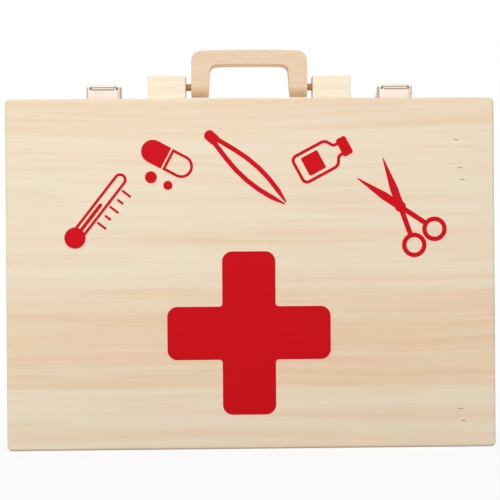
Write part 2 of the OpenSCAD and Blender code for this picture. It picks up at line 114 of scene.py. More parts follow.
class HandleSettings(bpy.types.PropertyGroup):
    """Beech bow, its blocks and dowels."""

    grip: length("Grip", "Height of the grip bar", 10.2)
    leg: length("Leg", "Width of a leg at its foot", 12.4)
    taper: length("Taper", "How much wider a leg is at its top", 1.3)
    outer_radius: length("Outer corner", "Radius of the bow's outer corners", 7)
    inner_radius: length("Inner corner", "Radius in the corners of the finger gap", 5)
    arch: length("Arch", "Rise of the grip's middle", 0.8)
    edge: length("Edge", "Rounding of the bow's edges", 2.4)
    dowel: length("Dowel bore", "Diameter of the bores for the dowels", 5.1)
    dowel_depth: length("Bore depth", "How far a dowel bore reaches into a leg", 8.5)
    block_edge: length("Block edge", "Eased edge of the blocks", 0.15)
    dowel_edge: length("Dowel edge", "Eased ends of the dowels", 0.3)
    beech: colour("Beech", "Planed beech of the bow", "#e6cdb0")
    maple: colour("Pale hardwood", "Very pale wood of the blocks", "#f6eeda")
    # The dowels' colour is their own beech tone with painted shade: it is darker than the bow's beech, for the
    # shade they sit in between block and leg
    dowel_colour_with_shade: colour("Dowel wood and shade", "Turned beech of the dowels", "#c29f80")


class PrintSettings(bpy.types.PropertyGroup):
    """Red print on the front panel."""

    ink: length("Ink", "How far the ink stands on the wood", 0.05)
    cross_x: length("Plus across", "Place of the plus from the middle", -1.9, -100)
    cross_z: length("Plus height", "Height of the middle of the plus", 80.8)
    cross_span: length("Plus span", "Width and height of the plus", 113.5)
    cross_arm: length("Plus arm", "Width of an arm of the plus", 37)
    cross_round: length("Arm rounding", "Corner radius of the arms", 7)
    red: colour("Plus red", "Ink of the plus", "#ce101b")
    bright_red: colour("Motif red", "Ink of the small motifs", "#d2131f")


class MetalSettings(bpy.types.PropertyGroup):
    """Latches, hinges and screws."""

    edge: length("Edge", "Eased edge of the pressed sheet", 0.14)
    leaf_edge: length("Leaf edge", "Eased edge of the hinge leaves", 0.084)
    rivet_edge: length("Rivet edge", "Eased ends of the latch rivets", 0.12)
    pin_edge: length("Pin edge", "Eased ends of the hinge pins", 0.2)
    nickel: colour("Nickel", "Satin nickel plate", "#cfc0b4")
    zinc: colour("Zinc", "Zinc plated steel", "#bdb9b2")


class StageSettings(bpy.types.PropertyGroup):
    """Floor, light and camera."""

    lens: bpy.props.FloatProperty(name="Lens", description="Focal length in millimetres", default=82.97)
    key: power("Key", "Large lamp above the front", 8.2)
    fill: power("Fill", "Lamp at each side", 1.35)
    back: power("Back", "Lamp behind and above the case", 16.5)
    sky: bpy.props.FloatProperty(name="Sky", description="Level of the light from all round", default=0.335)


# Mesh helpers


def middle(node):
    """The middle of a node's box."""
    low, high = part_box(node)
    return (Vector(low) + Vector(high)) / 2


def seam_y():
    """The place of the seam between both halves, which stand a hair apart."""
    return (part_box("lid_top_board")[1][1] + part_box("body_top_board")[0][1]) / 2


def new_verts(made):
    """The vertices among what an operator has made."""
    return [part for part in made if isinstance(part, bmesh.types.BMVert)]


def face_islands(bm):
    """The faces of each connected shape, as a list of lists."""
    islands, seen = [], set()
    for start in bm.faces:
        if start in seen:
            continue
        island, queue = [], [start]
        seen.add(start)
        while queue:
            face = queue.pop()
            island.append(face)
            for edge in face.edges:
                for other in edge.link_faces:
                    if other not in seen:
                        seen.add(other)
                        queue.append(other)
        islands.append(island)
    return islands


def merged_copy(node):
    """A closed bmesh of a CAD node of one solid, its loose triangles merged into flat faces."""
    bm = bmesh.new()
    bm.from_mesh(frame["nodes"][node].data)
    bmesh.ops.remove_doubles(bm, verts=bm.verts, dist=0.002 * MM)
    # Only the outside is kept, without the shells of any hollow that is closed all round
    outside = set(max(face_islands(bm), key=len))
    bmesh.ops.delete(bm, geom=[face for face in bm.faces if face not in outside], context="FACES")
    bmesh.ops.dissolve_limit(bm, angle_limit=math.radians(0.5), verts=bm.verts, edges=bm.edges)
    return bm


def sharp_edges(bm, angle=math.radians(35)):
    """Edges where two faces meet at more than angle."""
    return [edge for edge in bm.edges if len(edge.link_faces) == 2 and edge.calc_face_angle() > angle]


def ease(bm, edges, width, segments=2):
    """Rounds edges by width and leaves no slivers where they meet."""
    bmesh.ops.bevel(
        bm, geom=edges, offset=width, offset_type="OFFSET", segments=segments, profile=0.5,
        affect="EDGES", clamp_overlap=True, material=-1,
    )
    bmesh.ops.remove_doubles(bm, verts=bm.verts, dist=0.002 * MM)
    bmesh.ops.dissolve_degenerate(bm, edges=bm.edges, dist=0.002 * MM)


def round_corners(bm, corners, radius, segments=8):
    """Rounds the corners of flat faces by radius."""
    bmesh.ops.bevel(
        bm, geom=corners, offset=radius, offset_type="OFFSET", segments=segments, profile=0.5,
        affect="VERTICES", clamp_overlap=True, material=-1,
    )


def new_object(name, bm):
    """Writes a bmesh into a new object at the origin and frees it."""
    mesh = bpy.data.meshes.new(name)
    bm.to_mesh(mesh)
    bm.free()
    piece = bpy.data.objects.new(name, mesh)
    bpy.context.scene.collection.objects.link(piece)
    return piece


def piece_from(name, bm, material, nodes, body=None):
    """Makes a smooth shaded piece that stands for CAD nodes and rides on their body."""
    for face in bm.faces:
        face.smooth = True
    for edge in sharp_edges(bm, math.radians(50)):
        edge.smooth = False
    piece = new_object(name, bm)
    piece.data.materials.append(material)
    shading = piece.modifiers.new("flat faces stay flat", "WEIGHTED_NORMAL")
    shading.keep_sharp = True
    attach(piece, body or BODY_OF[nodes[0]])
    if nodes:
        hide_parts(*nodes)
    return piece


def dressed(node, finish, material, edge=0.0):
    """Makes a piece from a CAD node, with its sharp edges eased."""
    bm = merged_copy(node)
    if edge:
        ease(bm, sharp_edges(bm), edge)
    return piece_from(f"{node}_{finish}", bm, material, [node])


def carved(bm, cutter):
    """The solid bm with the solid cutter taken out of it, as a new bmesh."""
    body = new_object("carved_body", bm)
    tool = new_object("carving_tool", cutter)
    cut = body.modifiers.new("cut", "BOOLEAN")
    cut.operation = "DIFFERENCE"
    cut.solver = "EXACT"
    cut.object = tool
    result = bmesh.new()
    result.from_object(body, bpy.context.evaluated_depsgraph_get())
    for part in (body, tool):
        mesh = part.data
        bpy.data.objects.remove(part)
        bpy.data.meshes.remove(mesh)
    return result


# Material helpers


def add_node(tree, kind, settings=None, inputs=None, stops=()):
    """Adds a shader node with its settings and links.

    inputs takes a value or an output socket for each input, and stops are the positions and
    colours of a colour ramp. Colours are red, green and blue."""
    node = tree.nodes.new(kind)
    for name, value in (settings or {}).items():
        setattr(node, name, value)
    for key, value in (inputs or {}).items():
        socket = node.inputs[key]
        if isinstance(value, bpy.types.NodeSocket):
            tree.links.new(value, socket)
        else:
            socket.default_value = (*value, 1) if socket.type == "RGBA" else value
    if stops:
        elements = node.color_ramp.elements
        while len(elements) < len(stops):
            elements.new(1)
        for element, (position, value) in zip(elements, stops):
            element.position = position
            element.color = (*value, 1)
    return node


def new_material(name):
    """An empty node material with its shader, and the tree that holds them."""
    material = bpy.data.materials.new(name)
    material.use_nodes = True
    tree = material.node_tree
    return material, tree, tree.nodes["Principled BSDF"]


def shifted(value, factor):
    """A linear colour made lighter or darker by factor."""
    return tuple(min(1.0, channel * factor) for channel in value)


def grain_space(tree, axes, seed=0.0):
    """Object coordinates turned so that X runs along the grain, Y across it and Z into the tree.

    axes names the object's axes for these three, and seed moves the pattern along the grain. The
    other results are the place along the board and across it, and how squarely the surface cuts
    the grain."""
    coordinates = add_node(tree, "ShaderNodeTexCoord")
    place = add_node(tree, "ShaderNodeSeparateXYZ", inputs={0: coordinates.outputs["Object"]}).outputs
    facing = add_node(tree, "ShaderNodeSeparateXYZ", inputs={0: coordinates.outputs["Normal"]}).outputs
    along, across, depth = (place[axis] for axis in axes)
    moved = add_node(tree, "ShaderNodeMath", {"operation": "ADD"}, {0: along, 1: seed}).outputs[0]
    turned = add_node(tree, "ShaderNodeCombineXYZ", inputs={"X": moved, "Y": across, "Z": depth}).outputs[0]
    squarely = add_node(tree, "ShaderNodeMath", {"operation": "ABSOLUTE"}, {0: facing[axes[0]]}).outputs[0]
    end_grain = add_node(
        tree, "ShaderNodeMapRange", inputs={"Value": squarely, "From Min": 0.6, "From Max": 0.9}
    ).outputs[0]
    return turned, (along, across), end_grain


def streaks(tree, vector, run_mm, width_mm, detail=2.0):
    """Noise drawn out along the grain: run_mm is its length and width_mm its width."""
    scaled = add_node(
        tree, "ShaderNodeMapping",
        inputs={"Vector": vector, "Scale": (1 / (run_mm * MM), 1 / (width_mm * MM), 1 / (width_mm * MM))},
    ).outputs[0]
    noise = add_node(tree, "ShaderNodeTexNoise", inputs={"Vector": scaled, "Scale": 1.0, "Detail": detail})
    return noise.outputs["Fac"]


def stained(tree, surface, layers):
    """A colour darkened by each layer in turn; a layer is (colour, share)."""
    for tint, share in layers:
        surface = add_node(
            tree, "ShaderNodeMix", {"data_type": "RGBA", "blend_type": "MULTIPLY"},
            {FACTOR: share, FIRST: surface, SECOND: tint},
        ).outputs[MIXED]
    return surface


def finish_surface(tree, shader, surface, gloss, roughness, relief, height, strength=0.25):
    """Links a colour, a roughness and a relief to the shader.

    gloss runs from 0 to 1 between the two values of roughness, and height is in metres."""
    rough = add_node(
        tree, "ShaderNodeMapRange", inputs={"Value": gloss, "To Min": roughness[0], "To Max": roughness[1]}
    ).outputs[0]
    bump = add_node(
        tree, "ShaderNodeBump", inputs={"Strength": strength, "Distance": height, "Height": relief}
    ).outputs[0]
    for value, name in ((surface, "Base Color"), (rough, "Roughness"), (bump, "Normal")):
        tree.links.new(value, shader.inputs[name])


# Woods


def glued_strips(tree, turned, across, planks):
    """Gives each glued strip its own piece of the pattern and its own warmth.

    planks are the strips as (lowest place across, warmth), the lowest first."""
    # The ramps only have to end somewhere above the last strip's lower edge
    height, most_strips = planks[-1][0] + 100 * MM, 9
    share = add_node(tree, "ShaderNodeMath", {"operation": "DIVIDE"}, {0: across, 1: height}).outputs[0]
    warmths = [(low / height, (value,) * 3) for low, value in planks]
    numbers = [(low / height, (number / most_strips,) * 3) for number, (low, _) in enumerate(planks)]
    stepped = []
    for stops in (warmths, numbers):
        steps = add_node(tree, "ShaderNodeValToRGB", inputs={"Fac": share}, stops=stops)
        steps.color_ramp.interpolation = "CONSTANT"
        stepped.append(steps.outputs["Color"])
    warmth, number = stepped

    # Each strip comes from another tree: its pattern is moved along, across and into the wood
    furthest = (900 * MM, 50 * MM, 30 * MM)
    chance = add_node(tree, "ShaderNodeTexWhiteNoise", {"noise_dimensions": "1D"}, {"W": number})
    jump = add_node(
        tree, "ShaderNodeVectorMath", {"operation": "MULTIPLY"}, {0: chance.outputs["Color"], 1: furthest}
    ).outputs[0]
    moved = add_node(tree, "ShaderNodeVectorMath", {"operation": "ADD"}, {0: turned, 1: jump}).outputs[0]
    return moved, warmth


def resin_marks(tree, surface, place, flecks, resin):
    """Draws short dark dashes along the grain; flecks are their places as (along, across)."""
    half_run, half_width = 2.6 * MM, 0.55 * MM
    flat = add_node(tree, "ShaderNodeCombineXYZ", inputs={"X": place[0], "Y": place[1]}).outputs[0]
    for along, across in flecks:
        offset = add_node(
            tree, "ShaderNodeVectorMath", {"operation": "SUBTRACT"}, {0: flat, 1: (along, across, 0)}
        ).outputs[0]
        oval = add_node(
            tree, "ShaderNodeVectorMath", {"operation": "MULTIPLY"},
            {0: offset, 1: (1 / half_run, 1 / half_width, 0)},
        ).outputs[0]
        away = add_node(tree, "ShaderNodeVectorMath", {"operation": "LENGTH"}, {0: oval}).outputs["Value"]
        mark = add_node(
            tree, "ShaderNodeMapRange",
            inputs={"Value": away, "From Min": 1.0, "From Max": 0.2, "To Max": 0.8},
        ).outputs[0]
        surface = add_node(
            tree, "ShaderNodeMix", {"data_type": "RGBA"}, {FACTOR: mark, FIRST: surface, SECOND: resin}
        ).outputs[MIXED]
    return surface


def pine_board(wood, name, axes, pith, seed, planks=(), flecks=()):
    """Planed pine with a clear matt coat: long soft bands of cream and tan, faint rings, fine fibre.

    wood holds the settings, pith is where the middle of the tree lies across and behind the
    board, and planks and flecks are those of glued_strips and resin_marks."""
    material, tree, shader = new_material(name)
    turned, place, end_grain = grain_space(tree, axes, seed)
    # A board in one piece has one warmth all over
    warmth = 0.07
    if planks:
        turned, warmth = glued_strips(tree, turned, place[1], planks)

    # The grain drifts across the board on its way along it
    parts = add_node(tree, "ShaderNodeSeparateXYZ", inputs={0: turned}).outputs
    wander = streaks(tree, turned, 220, 60, 1.0)
    drift = add_node(
        tree, "ShaderNodeMath", {"operation": "MULTIPLY_ADD"}, {0: wander, 1: 24 * MM, 2: parts["Y"]}
    ).outputs[0]
    grain = add_node(
        tree, "ShaderNodeCombineXYZ", inputs={"X": parts["X"], "Y": drift, "Z": parts["Z"]}
    ).outputs[0]

    # Sawn nearly along the rings, so the wood runs from cream to tan in long soft flames
    band = warmth
    for noise, share in ((streaks(tree, grain, 300, 13), 0.6), (streaks(tree, grain, 170, 3.6), 0.4)):
        band = add_node(
            tree, "ShaderNodeMath", {"operation": "MULTIPLY_ADD"}, {0: noise, 1: share, 2: band}
        ).outputs[0]
    surface = add_node(
        tree, "ShaderNodeValToRGB", inputs={"Fac": band}, stops=[(0.46, wood.early), (0.8, wood.late)]
    ).outputs["Color"]

    # Rings by the distance from the pith, which is made uneven along the trunk
    section = [0.0]
    for coordinate, centre in zip((drift, parts["Z"]), pith):
        section.append(add_node(
            tree, "ShaderNodeMath", {"operation": "SUBTRACT"}, {0: coordinate, 1: centre}
        ).outputs[0])
    section = add_node(tree, "ShaderNodeCombineXYZ", inputs=dict(enumerate(section))).outputs[0]
    radius = add_node(tree, "ShaderNodeVectorMath", {"operation": "LENGTH"}, {0: section}).outputs["Value"]
    ripple = streaks(tree, turned, 90, 9)
    uneven = add_node(
        tree, "ShaderNodeMath", {"operation": "MULTIPLY_ADD"}, {0: ripple, 1: 1.6 * MM, 2: radius}
    ).outputs[0]
    count = add_node(tree, "ShaderNodeMath", {"operation": "DIVIDE"}, {0: uneven, 1: wood.ring}).outputs[0]
    ring = add_node(tree, "ShaderNodeMath", {"operation": "FRACT"}, {0: count}).outputs[0]
    late = add_node(
        tree, "ShaderNodeValToRGB", inputs={"Fac": ring},
        stops=[(0.0, BLACK), (0.45, (0.25,) * 3), (0.84, WHITE), (1.0, BLACK)],
    ).outputs["Color"]
    ring_share = add_node(
        tree, "ShaderNodeMath", {"operation": "MULTIPLY"}, {0: late, 1: wood.ring_depth}
    ).outputs[0]

    # Fine fibre, patches that lean to pink or to straw, and end grain, which drinks more of the coat
    fibre = streaks(tree, grain, 45, 0.9, 3.0)
    fibres = add_node(
        tree, "ShaderNodeValToRGB", inputs={"Fac": fibre}, stops=[(0.3, (0.972, 0.962, 0.95)), (0.6, WHITE)]
    ).outputs["Color"]
    hues = add_node(
        tree, "ShaderNodeValToRGB", inputs={"Fac": streaks(tree, grain, 130, 14)},
        stops=[(0.38, (1.0, 0.985, 0.985)), (0.62, (0.985, 0.99, 0.97))],
    ).outputs["Color"]
    surface = stained(tree, surface, (((0.985, 0.955, 0.915), ring_share), (fibres, 1.0), (hues, 1.0)))
    surface = resin_marks(tree, surface, place, flecks, wood.resin)
    surface = stained(tree, surface, [((0.92, 0.88, 0.83), end_grain)])

    shader.inputs["Specular IOR Level"].default_value = 0.3
    relief = add_node(
        tree, "ShaderNodeMath", {"operation": "MULTIPLY_ADD"}, {0: late, 1: 0.3, 2: fibre}
    ).outputs[0]
    finish_surface(tree, shader, surface, fibre, (0.62, 0.5), relief, 0.04 * MM)
    return material


def hardwood(name, base, fleck_depth, seed, rough=0.5):
    """Planed beech or maple: even pale wood with faint streaks and short ray flecks."""
    material, tree, shader = new_material(name)
    turned, _, end_grain = grain_space(tree, "XZY", seed)
    fine = streaks(tree, turned, 22, 0.7)
    dark = tuple(1 - fleck_depth * share for share in (0.7, 0.9, 1.0))
    patterns = (
        (streaks(tree, turned, 120, 5), [(0.3, (0.95, 0.92, 0.88)), (0.65, WHITE)]),
        (fine, [(0.28, (0.94, 0.92, 0.89)), (0.55, WHITE)]),
        (streaks(tree, turned, 2.4, 0.45, 1.0), [(0.6, WHITE), (0.72, dark)]),
    )
    surface = base
    for noise, stops in patterns:
        tone = add_node(tree, "ShaderNodeValToRGB", inputs={"Fac": noise}, stops=stops).outputs["Color"]
        surface = stained(tree, surface, [(tone, 1.0)])
    surface = stained(tree, surface, [((0.86, 0.80, 0.72), end_grain)])
    finish_surface(tree, shader, surface, fine, (rough + 0.08, rough - 0.06), fine, 0.05 * MM)
    return material


# Metal and ink


def plated_metal(name, base, roughness, grit_mm):
    """Nickel or zinc plate on pressed steel: a soft shine with fine tumbling marks."""
    material, tree, shader = new_material(name)
    shader.inputs["Metallic"].default_value = 1.0
    place = add_node(tree, "ShaderNodeTexCoord").outputs["Object"]
    grit, cloud = (
        add_node(
            tree, "ShaderNodeTexNoise", inputs={"Vector": place, "Scale": 1 / (size_mm * MM), "Detail": 2.0}
        ).outputs["Fac"]
        for size_mm in (grit_mm, 6)
    )
    tone = add_node(
        tree, "ShaderNodeValToRGB", inputs={"Fac": cloud}, stops=[(0.3, shifted(base, 0.93)), (0.7, base)]
    ).outputs["Color"]
    finish_surface(tree, shader, tone, grit, (roughness - 0.07, roughness + 0.09), grit, 0.01 * MM, 0.2)
    return material


def screen_ink(name, base):
    """Screen printed ink on planed wood: flat red with a faint silk sheen and the grain under it."""
    material, tree, shader = new_material(name)
    turned, _, _ = grain_space(tree, "XZY")
    fibre = streaks(tree, turned, 40, 0.9, 3.0)
    tone = add_node(
        tree, "ShaderNodeValToRGB", inputs={"Fac": fibre}, stops=[(0.3, shifted(base, 0.93)), (0.6, base)]
    ).outputs["Color"]
    shader.inputs["Specular IOR Level"].default_value = 0.05
    finish_surface(tree, shader, tone, fibre, (0.6, 0.5), fibre, 0.04 * MM, 0.3)
    return material


# Wooden boards


class CASE_OT_boards(bpy.types.Operator):
    """Eases the edges of the ten glued boards, leaves room for the ink and gives each its own pine"""

    bl_idname = "case.boards"
    bl_label = "Boards"

    def execute(self, context):
        settings = context.scene.case_boards
        # Front and back are glued up from strips: where each begins, and how warm its wood is
        front_strips = ((0.0, 0.0), (42 * MM, 0.15), (111.5 * MM, 0.02), (221.5 * MM, 0.08))
        back_strips = ((0.0, 0.1), (64 * MM, 0.03), (146 * MM, 0.15), (205 * MM, 0.06))
        # Resin marks near the right edge of the front
        front_flecks = (
            (143.1 * MM, 214.4 * MM),
            (145.9 * MM, 194.9 * MM),
            (147.6 * MM, 186.6 * MM),
            (145.2 * MM, 26.9 * MM),
            (147.3 * MM, 18.5 * MM),
        )
        # Axes along, across and into the wood, then the pith, the seed, the strips and the marks
        woods = {
            "front": ("XZY", (122 * MM, 62 * MM), 0.0, front_strips, front_flecks),
            "back": ("XZY", (96 * MM, 10 * MM), 0.7, back_strips),
            "top": ("XYZ", (12 * MM, 190 * MM), 1.3),
            "bottom": ("XYZ", (-8 * MM, 52 * MM), 2.1),
            "left": ("ZYX", (4 * MM, -120 * MM), 3.4),
            "right": ("ZYX", (-14 * MM, 118 * MM), 4.2),
        }
        pines = {side: pine_board(settings, f"planed_pine_{side}", *wood) for side, wood in woods.items()}
        self.panels(context, pines)
        for half in ("lid", "body"):
            for side in ("top", "bottom", "left", "right"):
                self.board(settings, f"{half}_{side}_board", pines[side])
        return {"FINISHED"}

    def panels(self, context, pines):
        """Makes both panels; the front one is thinner by the ink, which fills its place."""
        for side in ("front", "back"):
            node = f"{side}_panel"
            bm = merged_copy(node)
            if side == "front":
                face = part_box(node)[0][1]
                front = [vert for vert in bm.verts if vert.co.y < face + 0.01 * MM]
                bmesh.ops.translate(bm, verts=front, vec=(0, context.scene.case_print.ink, 0))
            ease(bm, sharp_edges(bm), context.scene.case_boards.edge)
            piece_from(node + "_wood", bm, pines[side], [node])

    def board(self, settings, node, pine):
        """Makes one board of a frame, with its long edge at the seam rounded more than the rest."""
        bm = merged_copy(node)
        least_run, seam = 60 * MM, seam_y()
        at_seam = [
            edge for edge in sharp_edges(bm, math.radians(60))
            if all(abs(vert.co.y - seam) < 0.2 * MM for vert in edge.verts) and edge.calc_length() > least_run
        ]
        if at_seam:
            ease(bm, at_seam, settings.seam_edge, 3)
        ease(bm, sharp_edges(bm), settings.edge)
        piece_from(node + "_wood", bm, pine, [node])


# Handle


def bow_mesh(settings):
    """The bow as a bmesh: a flat outline, pulled out to its depth, with round feet and edges.

    The second result is the height of the dowels' axis."""
    low, high = (Vector(corner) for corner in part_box("carry_handle"))
    depth = high.y - low.y
    foot_radius = depth / 2
    axis_z = low.z + foot_radius
    half = high.x
    gap_foot = half - settings.leg
    gap_top = gap_foot - settings.taper
    gap_z = high.z - settings.grip

    bm = bmesh.new()
    outer = [(-half, low.z), (-half, high.z), (half, high.z), (half, low.z)]
    inner = [(gap_foot, low.z), (gap_top, gap_z), (-gap_top, gap_z), (-gap_foot, low.z)]
    verts = [bm.verts.new((x, low.y, z)) for x, z in outer + inner]
    bm.faces.new(verts)
    round_corners(bm, [verts[1], verts[2]], settings.outer_radius, 12)
    inner_corners = [vert for vert in bm.verts if abs(vert.co.z - gap_z) < 0.01 * MM]
    round_corners(bm, inner_corners, settings.inner_radius, 12)

    # The grip rises a little towards its middle, above and below
    long_edges = [
        edge for edge in bm.edges
        if edge.calc_length() > half and abs(edge.verts[0].co.z - edge.verts[1].co.z) < MM
    ]
    bmesh.ops.subdivide_edges(bm, edges=long_edges, cuts=15)
    for vert in bm.verts:
        if vert.co.z > gap_z - MM:
            vert.co.z -= settings.arch * (vert.co.x / half) ** 2
    far_side = new_verts(bmesh.ops.extrude_face_region(bm, geom=bm.faces[:])["geom"])
    bmesh.ops.translate(bm, verts=far_side, vec=(0, depth, 0))

    # Below the axis each leg is cut into slices that narrow to a half round foot
    steps = 9
    for step in range(steps):
        drop = foot_radius * math.sin(math.radians(90) * step / steps)
        everything = bm.verts[:] + bm.edges[:] + bm.faces[:]
        bmesh.ops.bisect_plane(bm, geom=everything, plane_co=(0, 0, axis_z - drop), plane_no=(0, 0, 1))
    for vert in bm.verts:
        drop = axis_z - vert.co.z
        if drop > 0:
            vert.co.y = math.copysign(math.sqrt(max(0.0, foot_radius ** 2 - drop ** 2)), vert.co.y)
    bmesh.ops.remove_doubles(bm, verts=bm.verts, dist=0.01 * MM)
    bmesh.ops.dissolve_degenerate(bm, edges=bm.edges, dist=0.01 * MM)
    bmesh.ops.recalc_face_normals(bm, faces=bm.faces)
    ease(bm, sharp_edges(bm, math.radians(50)), settings.edge, 6)
    return bm, axis_z


class CASE_OT_handle(bpy.types.Operator):
    """Makes the beech bow with its dowel bores, and dresses the blocks and dowels"""

    bl_idname = "case.handle"
    bl_label = "Handle"

    def execute(self, context):
        settings = context.scene.case_handle
        bm, axis_z = bow_mesh(settings)
        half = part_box("carry_handle")[1][0]
        reach = settings.dowel_depth + MM
        for side in (-1, 1):
            bore = bmesh.new()
            place = Matrix.Translation((side * (half - settings.dowel_depth + reach / 2), 0, axis_z))
            bmesh.ops.create_cone(
                bore, cap_ends=True, segments=48, radius1=settings.dowel / 2, radius2=settings.dowel / 2,
                depth=reach, matrix=place @ Matrix.Rotation(math.radians(90), 4, "Y"),
            )
            bm = carved(bm, bore)
        beech = hardwood("planed_beech_bow", settings.beech, 0.16, 0.4)
        piece_from("carry_handle_beech", bm, beech, ["carry_handle"])

        maple = hardwood("planed_maple_block", settings.maple, 0.05, 1.9)
        # Painted shade: the dowels get beech made darker than the bow's, for the shade between block and leg
        dowel_wood_with_shade = hardwood("beech_dowel_with_painted_shade", settings.dowel_colour_with_shade, 0.14, 2.6, 0.6)
        for side in ("left", "right"):
            dressed(f"handle_block_{side}", "maple", maple, settings.block_edge)
            dressed(f"handle_dowel_{side}", "beech", dowel_wood_with_shade, settings.dowel_edge)
        return {"FINISHED"}


# Flat shapes, drawn in millimetres where nothing else is said


def disc(bm, x, y, radius):
    """A flat round spot."""
    bmesh.ops.create_circle(
        bm, cap_ends=True, segments=48, radius=radius, matrix=Matrix.Translation((x, y, 0))
    )


def bar(bm, x, y, width, height, radius=0.0):
    """A flat bar with round corners."""
    made = bmesh.ops.create_grid(bm, x_segments=1, y_segments=1, size=0.5)["verts"]
    bmesh.ops.scale(bm, verts=made, vec=(width, height, 1))
    bmesh.ops.translate(bm, verts=made, vec=(x, y, 0))
    if radius:
        round_corners(bm, made, radius, 8)


def ring(bm, x, y, radius, width):
    """A flat ring; radius is that of the middle of its band."""
    ends = [bm.verts.new((x + radius + side * width / 2, y, 0)) for side in (-1, 1)]
    bmesh.ops.spin(
        bm, geom=[bm.edges.new(ends)], cent=(x, y, 0), axis=(0, 0, 1), dvec=(0, 0, 0),
        angle=math.radians(360), steps=48, use_merge=True, use_normal_flip=False, use_duplicate=False,
    )


def ribbon(bm, x, y, heading, width, moves, point=1.0):
    """A flat band from x, y in the direction heading, in degrees.

    Each move is (length, 0) for a straight run, or (radius, angle) for a bend, to the left if
    angle is positive. The band's end keeps the share point of its width."""
    place = Vector((x, y, 0))
    forward = Matrix.Rotation(math.radians(heading), 3, "Z") @ Vector((1, 0, 0))
    left = Vector((-forward.y, forward.x, 0))
    edge = bm.edges.new([bm.verts.new(place + left * width / 2), bm.verts.new(place - left * width / 2)])
    for size, angle in moves:
        if angle:
            centre = place + left * math.copysign(size, angle)
            turn = Matrix.Rotation(math.radians(angle), 3, "Z")
            spun = bmesh.ops.spin(
                bm, geom=[edge], cent=centre, axis=(0, 0, 1), dvec=(0, 0, 0), angle=math.radians(angle),
                steps=max(4, round(abs(angle) / 6)), use_merge=False, use_normal_flip=False,
                use_duplicate=False,
            )
            edge = next(part for part in spun["geom_last"] if isinstance(part, bmesh.types.BMEdge))
            place = centre + turn @ (place - centre)
            forward = turn @ forward
            left = turn @ left
        else:
            grown = bmesh.ops.extrude_edge_only(bm, edges=[edge])["geom"]
            ends = new_verts(grown)
            bmesh.ops.translate(bm, verts=ends, vec=forward * size)
            edges = [part for part in grown if isinstance(part, bmesh.types.BMEdge)]
            edge = next(part for part in edges if set(part.verts) == set(ends))
            place = place + forward * size
    for vert in edge.verts:
        vert.co = place.lerp(vert.co, point)


def plus_outline(bm, span, arm):
    """A flat plus with sharp corners, in any unit."""
    square = bmesh.ops.create_grid(bm, x_segments=1, y_segments=1, size=0.5)["verts"]
    bmesh.ops.scale(bm, verts=square, vec=(arm, arm, 1))
    for edge in list(bm.edges):
        outwards = ((edge.verts[0].co + edge.verts[1].co) / 2).normalized()
        ends = new_verts(bmesh.ops.extrude_edge_only(bm, edges=[edge])["geom"])
        bmesh.ops.translate(bm, verts=ends, vec=outwards * (span - arm) / 2)
    bmesh.ops.dissolve_edges(bm, edges=[edge for edge in bm.edges if len(edge.link_faces) == 2])


def plus_sign(bm, span, arm, rounding):
    """A plus with round arm ends and eased inner corners."""
    plus_outline(bm, span, arm)
    inner = [vert for vert in bm.verts if max(abs(vert.co.x), abs(vert.co.y)) <= arm]
    round_corners(bm, inner, rounding * 0.3, 6)
    outer = [vert for vert in bm.verts if vert.co.length > span / 2]
    round_corners(bm, outer, rounding, 14)


# Print on the front


def thermometer(bm):
    """A clinical thermometer: an outlined tube with its column, bulb and marks."""
    ribbon(bm, -3.6, -21, 90, 2.0, [(46, 0), (3.6, -180), (46, 0)])
    disc(bm, 0, -26, 7.4)
    bar(bm, 0, -9, 2.6, 26, 1.2)
    for mark in range(5):
        bar(bm, 9.4, -8 + mark * 7, 5.5 if mark % 2 else 8, 1.7, 0.8)


def capsule(bm):
    """A two part capsule with one filled half, and two tablets."""
    ribbon(bm, 1.2, 7.1, 0, 2.0, [(10, 0), (7.1, -180), (10, 0)])
    bar(bm, 1.2, 0, 2.0, 16.2)
    disc(bm, -11.2, 0, 8.1)
    bar(bm, -6.0, 0, 10.4, 16.2)
    disc(bm, -4, -16.5, 4.2)
    disc(bm, 9, -16.0, 3.2)


def tweezers(bm):
    """Sprung tweezers seen from the side."""
    bar(bm, 0, 31, 7.5, 11, 3.2)
    for side in (-1, 1):
        ribbon(bm, side * 1.6, 27, -90 + side * 11, 3.4, [(14, 0), (95, -side * 25), (10, 0)], 0.3)


def medicine_bottle(bm):
    """An outlined bottle with a filled cap and label."""
    shoulder = [(3, -60), (2.3, 0), (5, 60)]
    base = [(20, 0), (3.5, 90), (13, 0), (3.5, 90), (20, 0)]
    ribbon(bm, -4, 17, -90, 2.2, [(2.5, 0), *shoulder, *base, *reversed(shoulder), (2.5, 0)])
    bar(bm, 0, 19.5, 13.5, 7.5, 1.8)
    bar(bm, 0, -5.0, 14, 13, 1.2)


def scissors(bm):
    """Bandage scissors, a little open."""
    spread, drop, ring_radius = 9, 27, 7
    lean = math.degrees(math.atan2(spread, drop))
    to_ring = math.hypot(spread, drop)
    shank = to_ring - ring_radius
    for side in (-1, 1):
        heading = 90 + side * lean
        ring(bm, side * spread, -drop, ring_radius, 3.2)
        share = shank / to_ring
        ribbon(bm, side * spread * share, -drop * share, heading, 3.6, [(shank, 0)])
        ribbon(bm, 0, 0, heading, 5.6, [(14, 0), (22, 0)], 0.12)
    disc(bm, 0, 0, 3.9)


def on_front(x_mm, z_mm, angle=0.0):
    """Lays a flat drawing in millimetres on the front panel's wood, turned by angle in degrees."""
    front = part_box("front_panel")[0][1] + bpy.context.scene.case_print.ink
    return (
        Matrix.Translation((x_mm * MM, front, z_mm * MM))
        @ Matrix.Rotation(math.radians(90), 4, "X")
        @ Matrix.Rotation(math.radians(angle), 4, "Z")
        @ Matrix.Scale(MM, 4)
    )


